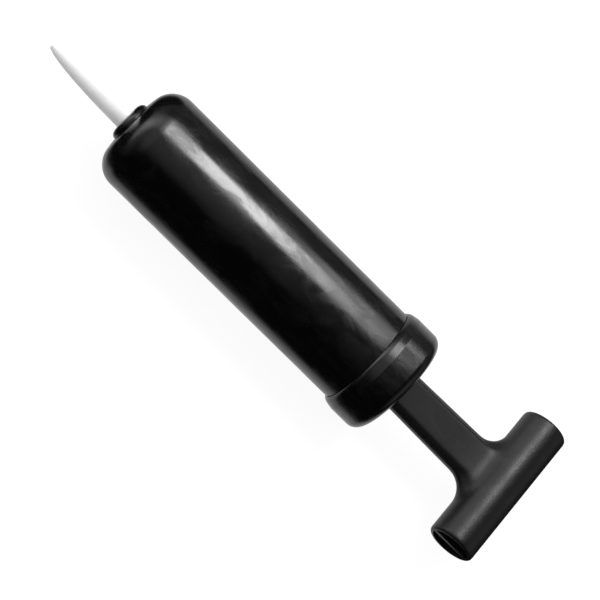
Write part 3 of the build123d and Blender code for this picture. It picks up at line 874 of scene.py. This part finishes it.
def solidObject(name, build):
    work = bmesh.new()
    build(work)
    bmesh.ops.recalc_face_normals(work, faces=work.faces)
    mesh = bpy.data.meshes.new(name)
    work.to_mesh(mesh)
    work.free()
    made = bpy.data.objects.new(name, mesh)
    bpy.context.scene.collection.objects.link(made)
    return made


def appliedMesh(source, name):
    bpy.context.view_layer.update()
    seen = source.evaluated_get(bpy.context.evaluated_depsgraph_get())
    mesh = bpy.data.meshes.new_from_object(seen)
    mesh.name = name
    return mesh


def makeHandle():
    shape = handleShape
    low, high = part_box("handle_rod")
    barLine, barEnd = high.x - shape["barRadius"], high.y
    face, over = rodShape["thickness"] / 2, shape["overrun"]
    pilotEnd = low.x + shape["pilotDepth"]
    pitch = shape["coreLength"] + shape["coreRib"]
    coreFirst = low.x + shape["coreStart"] + shape["coreRib"] / 2 + shape["coreLength"] / 2
    cores = [coreFirst + pitch * count for count in range(shape["coreCount"])]

    def acrossBar(point, level):
        return Vector((barLine + point.x, level, point.y))

    def alongRod(point, level):
        return Vector((level, point.x, point.y))

    def throughFace(middle):
        return lambda point, level: Vector((middle + point.x, point.y, level))

    def coreOutline(grow):
        length, width = shape["coreLength"] / 2 + grow, shape["coreWidth"] / 2 + grow
        corners = ((length, width), (-length, width), (-length, -width), (length, -width))
        return softCorners([(*corner, shape["coreCorner"]) for corner in corners], 5)

    def fillings(work):
        work.from_mesh(nodes["handle_rod"].data)
        for side in (1, -1):
            ends = sorted((side * barEnd, side * (barEnd - shape["pocketDepth"] - over)))
            prism(work, circleOutline(shape["pocketRadius"] + shape["pocketFill"]), *ends, acrossBar)
            for middle in cores:
                depths = sorted((side * (face - shape["coreDepth"] - shape["coreFill"]), side * face))
                prism(work, coreOutline(shape["coreFill"]), *depths, throughFace(middle))
        prism(work, circleOutline(shape["pilot"] + shape["pilotFill"]), low.x, pilotEnd + over, alongRod)

    def hollows(work):
        for side in (1, -1):
            for moon in (1, -1):
                ends = sorted((side * (barEnd + over), side * (barEnd - shape["pocketDepth"])))
                prism(work, halfMoon(moon), *ends, acrossBar)
            for middle in cores:
                depths = sorted((side * (face - shape["coreDepth"]), side * (face + over)))
                prism(work, coreOutline(0), *depths, throughFace(middle))
        prism(work, circleOutline(shape["pilot"]), low.x - over, pilotEnd, alongRod)

    # the hollows are filled before the skin is evened out, then cut again with sharp walls
    form = solidObject("handleForm", fillings)
    remesh = form.modifiers.new("evenSkin", "REMESH")
    remesh.mode, remesh.voxel_size = "VOXEL", shape["voxel"]
    soften = form.modifiers.new("softBlend", "SMOOTH")
    soften.factor, soften.iterations = 0.5, shape["smoothing"]
    cutter = solidObject("handleHollows", hollows)
    cut = form.modifiers.new("hollows", "BOOLEAN")
    cut.operation, cut.solver, cut.object = "DIFFERENCE", "EXACT", cutter
    mesh = appliedMesh(form, "pullHandle")
    for spare in (form, cutter):
        bpy.data.objects.remove(spare)
    material = satinPlastic("handleSatin", handleLook)
    finishPiece("pullHandle", mesh, "plunger", "handle_rod", material, sharpAngle=50)


makeHandle()

innerLooks = {
    "rubbers": {"grain": 3200.0, "grainShare": 0.7, "ripple": 300.0, "rippleShare": 0.3, "bloomScale": 260.0,
                "rough": 0.58, "roughSpread": 0.25, "edge": 0.0004, "edgeWear": 0.4, "sheen": 0.15,
                "sheenRough": 0.5, "relief": 0.00004},
    "steels": {"pitch": 0.00018, "wander": 0.6, "grain": 5000.0, "grainShare": 0.15, "haze": 350.0,
               "scratchScale": 1500.0, "scratches": 0.6, "scuffRough": 0.2, "edge": 0.0003, "edgeWear": 0.7,
               "rough": 0.2, "roughSpread": 0.22, "drawn": 0.3, "relief": 0.000012},
    "plastics": dict(handleLook, rough=0.48, grainTint=0.1, grainShare=0.3, edgeWear=0.35, relief=0.00005,
                     dust=0.12),
    "wool": {"fibre": 1100.0, "relief": 0.00025, "rough": 0.82, "roughSpread": 0.15, "sheen": 0.35,
             "sheenRough": 0.6, "color": (0.36, 0.34, 0.31, 1), "oilColor": (0.13, 0.115, 0.095, 1),
             "tipColor": (0.62, 0.6, 0.56, 1), "tipShare": 0.5},
}


def palePlastic(name, color, worn, **changes):
    hazeShade = 0.88
    haze = tuple(part * hazeShade for part in color[:3]) + (1,)
    look = dict(innerLooks["plastics"], color=color, hazeColor=haze, wornColor=worn, **changes)
    return satinPlastic(name, look)


def rubberOf(name, color, bloom, **changes):
    return rubber(name, dict(innerLooks["rubbers"], color=color, bloomColor=bloom, **changes))


def steelOf(name, color, dull, bright, **changes):
    look = dict(innerLooks["steels"], color=color, dullColor=dull, brightColor=bright, **changes)
    return platedSteel(name, look)


innerMaterials = {
    "bush_plastic": palePlastic("bushGrey", (0.24, 0.25, 0.26, 1), (0.4, 0.4, 0.4, 1)),
    "piston_plastic": palePlastic("pistonNatural", (0.60, 0.58, 0.52, 1), (0.7, 0.69, 0.64, 1), rough=0.4),
    "ring_plastic": palePlastic("ringIvory", (0.74, 0.72, 0.66, 1), (0.5, 0.48, 0.45, 1), rough=0.33),
    "valve_plastic": palePlastic("valveWhite", (0.72, 0.72, 0.69, 1), (0.6, 0.59, 0.56, 1), rough=0.42),
    "felt": woolFelt("wiperFelt", innerLooks["wool"]),
    "bumper_rubber": rubberOf("bumperBlack", (0.014, 0.014, 0.014, 1), (0.05, 0.05, 0.05, 1)),
    "seal_rubber": rubberOf("sealBlack", (0.018, 0.018, 0.019, 1), (0.06, 0.06, 0.06, 1), bloomScale=500.0),
    "cup_rubber": rubberOf("cupGreased", (0.012, 0.011, 0.010, 1), (0.03, 0.027, 0.022, 1), rough=0.25),
    "valve_rubber": rubberOf("valveRed", (0.22, 0.045, 0.028, 1), (0.36, 0.15, 0.11, 1), bloomScale=600.0),
    "spring_steel": steelOf("springDrawn", (0.52, 0.52, 0.54, 1), (0.3, 0.3, 0.31, 1), (0.8, 0.8, 0.8, 1)),
    "plate_steel": steelOf("plateZinc", (0.60, 0.61, 0.63, 1), (0.42, 0.43, 0.45, 1), (0.8, 0.8, 0.8, 1)),
    "screw_steel": steelOf("screwZinc", (0.58, 0.58, 0.6, 1), (0.38, 0.38, 0.4, 1), (0.82, 0.82, 0.82, 1),
                           pitch=0.0001),
}


def dressInnerNodes():
    for part in frame["record"]["subparts"]:
        material = innerMaterials.get(part["material_slot"])
        if material:
            nodes[part["node"]].material_slots[0].material = material
            print("dressed", part["node"])


dressInnerNodes()

studio = {
    "floorReach": 4.0,
    "floorColor": (0.86, 0.86, 0.86, 1),
    "paperColor": (0.09, 0.09, 0.09, 1),    # seen by the camera, under an even glow
    "paperGlow": 0.93,
    "paperRough": 0.9,
    "paperFibre": 900.0,
    "paperRelief": 0.00005,
    "cardLow": (-0.090, -0.056),    # the bright part of the floor that gloss reflects
    "cardHigh": (0.15, 0.24),
    "cardSoft": 0.016,
    "cardGlow": 0.75,
    "floorGlow": 0.015,
    "lampDistance": 0.9,
    "keyAim": (-0.1, 0.85, 0.5),
    "keyReach": (-0.6, 0.8),    # each reach and fade is a pair of direction cosines
    "keyLow": 0.10,
    "keyHigh": 1.2,
    "roomDark": 0.008,
    "sideReach": (0.3, 0.97),
    "sideGlow": 0.17,
    "veilAim": (-0.28, -0.1, 0.95),
    "veilEdge": 46.0,
    "veilHeart": 8.0,
    "veilGlow": 0.6,
    "veilFade": (0.17, 0.03),
    "endReach": (0.6, 0.95),
    "endGlow": 0.35,
    "bandTurn": 30.0,
    "bandEdge": 24.0,
    "bandHeart": 0.03,
    "bandFade": (-0.25, -0.6),
    "bandGlow": 2.3,
}
# turn is in degrees from straight up towards the back
lamps = {
    "boxLamp": {"size": (0.50, 0.46), "middle": -0.10, "turn": 28.0, "glow": 2.8},
    "coreLamp": {"size": (0.16, 0.42), "middle": 0.055, "turn": 27.4, "glow": 19.0},
    "endLamp": {"size": (0.16, 0.20), "middle": 0.215, "turn": 51.0, "glow": 5.5},
}


def hangLamps():
    distance = studio["lampDistance"]
    for name, lamp in lamps.items():
        light = bpy.data.lights.new(name, "AREA")
        light.shape = "RECTANGLE"
        light.size, light.size_y = lamp["size"]
        light.energy = lamp["glow"] * math.pi * light.size * light.size_y
        turn = math.radians(lamp["turn"])
        hung = bpy.data.objects.new(name, light)
        hung.location = (lamp["middle"], math.sin(turn) * distance, math.cos(turn) * distance)
        hung.rotation_euler = (-turn, 0, 0)
        bpy.context.scene.collection.objects.link(hung)


def lightRoom():
    world = bpy.data.worlds.new("studioRoom")
    bpy.context.scene.world = world
    world.use_nodes = True
    tree = world.node_tree
    path = addNode(tree, "LightPath").outputs
    towards = addNode(tree, "TexCoord").outputs["Generated"]
    split = addNode(tree, "SeparateXYZ")
    feed(tree, split, Vector=towards)
    side = spread(tree, split.outputs["Y"], *studio["sideReach"], studio["roomDark"], studio["sideGlow"])
    facing = addNode(tree, "VectorMath", operation="DOT_PRODUCT")
    feed(tree, facing, n0=towards, n1=Vector(studio["veilAim"]).normalized())
    edge, heart = math.cos(math.radians(studio["veilEdge"])), math.cos(math.radians(studio["veilHeart"]))
    veil = spread(tree, facing.outputs["Value"], edge, heart, toHigh=studio["veilGlow"])
    veil = calc(tree, "MULTIPLY", veil, spread(tree, split.outputs["X"], *studio["veilFade"]))
    # a band of light runs on past the nozzle end
    turn = math.radians(studio["bandTurn"])
    across = addNode(tree, "VectorMath", operation="DOT_PRODUCT")
    feed(tree, across, n0=towards, n1=(0, math.cos(turn), -math.sin(turn)))
    offset = calc(tree, "ABSOLUTE", across.outputs["Value"])
    bandEdge = math.sin(math.radians(studio["bandEdge"]))
    band = spread(tree, offset, bandEdge, studio["bandHeart"], toHigh=studio["bandGlow"])
    band = calc(tree, "MULTIPLY", band, spread(tree, split.outputs["X"], *studio["bandFade"]))
    endwise = calc(tree, "ABSOLUTE", split.outputs["X"])
    ends = spread(tree, endwise, *studio["endReach"], toHigh=studio["endGlow"])
    gloss = calc(tree, "ADD", calc(tree, "MAXIMUM", calc(tree, "MAXIMUM", side, veil), band), ends)
    key = addNode(tree, "VectorMath", operation="DOT_PRODUCT")
    feed(tree, key, n0=towards, n1=Vector(studio["keyAim"]).normalized())
    matt = spread(tree, key.outputs["Value"], *studio["keyReach"], studio["keyLow"], studio["keyHigh"])
    seen = calc(tree, "MAXIMUM", path["Is Camera Ray"], matt)
    strength = addNode(tree, "Mix", data_type="FLOAT")
    feed(tree, strength, n0=path["Is Glossy Ray"], n2=seen, n3=gloss)
    feed(tree, tree.nodes["Background"], Color=(1, 1, 1, 1), Strength=strength.outputs[0])


def layFloor():
    reach, height = studio["floorReach"], cadLow.z
    mesh = bpy.data.meshes.new("floor")
    corners = [(x * reach, y * reach, height) for x, y in ((-1, -1), (1, -1), (1, 1), (-1, 1))]
    mesh.from_pydata(corners, [], [(0, 1, 2, 3)])
    floor = bpy.data.objects.new("floor", mesh)
    bpy.context.scene.collection.objects.link(floor)
    material, tree, shader = newMaterial("floorPaper")
    path = addNode(tree, "LightPath").outputs
    split = addNode(tree, "SeparateXYZ")
    feed(tree, split, Vector=objectPlace(tree))
    card, soft = 1.0, studio["cardSoft"]
    for axis, low, high in zip("XY", studio["cardLow"], studio["cardHigh"]):
        entering = spread(tree, split.outputs[axis], low, low + soft)
        leaving = spread(tree, split.outputs[axis], high, high - soft)
        card = calc(tree, "MULTIPLY", card, calc(tree, "MULTIPLY", entering, leaving))
    reflected = calc(tree, "MULTIPLY_ADD", card, studio["cardGlow"], studio["floorGlow"])
    lit = addNode(tree, "Emission")
    feed(tree, lit, Strength=reflected)
    fibre = noise(tree, objectPlace(tree), studio["paperFibre"], detail=4.0)
    color = tint(tree, path["Is Camera Ray"], studio["floorColor"], studio["paperColor"])
    glow = calc(tree, "MULTIPLY", path["Is Camera Ray"], studio["paperGlow"])
    feed(tree, shader, Base_Color=color, Roughness=studio["paperRough"], Emission_Color=(1, 1, 1, 1),
         Emission_Strength=glow, Normal=raised(tree, fibre, studio["paperRelief"]))
    both = addNode(tree, "MixShader")
    feed(tree, both, n0=path["Is Glossy Ray"], n1=shader.outputs[0], n2=lit.outputs[0])
    tree.links.new(both.outputs[0], tree.nodes["Material Output"].inputs["Surface"])
    mesh.materials.append(material)


hangLamps()
lightRoom()
layFloor()
print("studio set up")
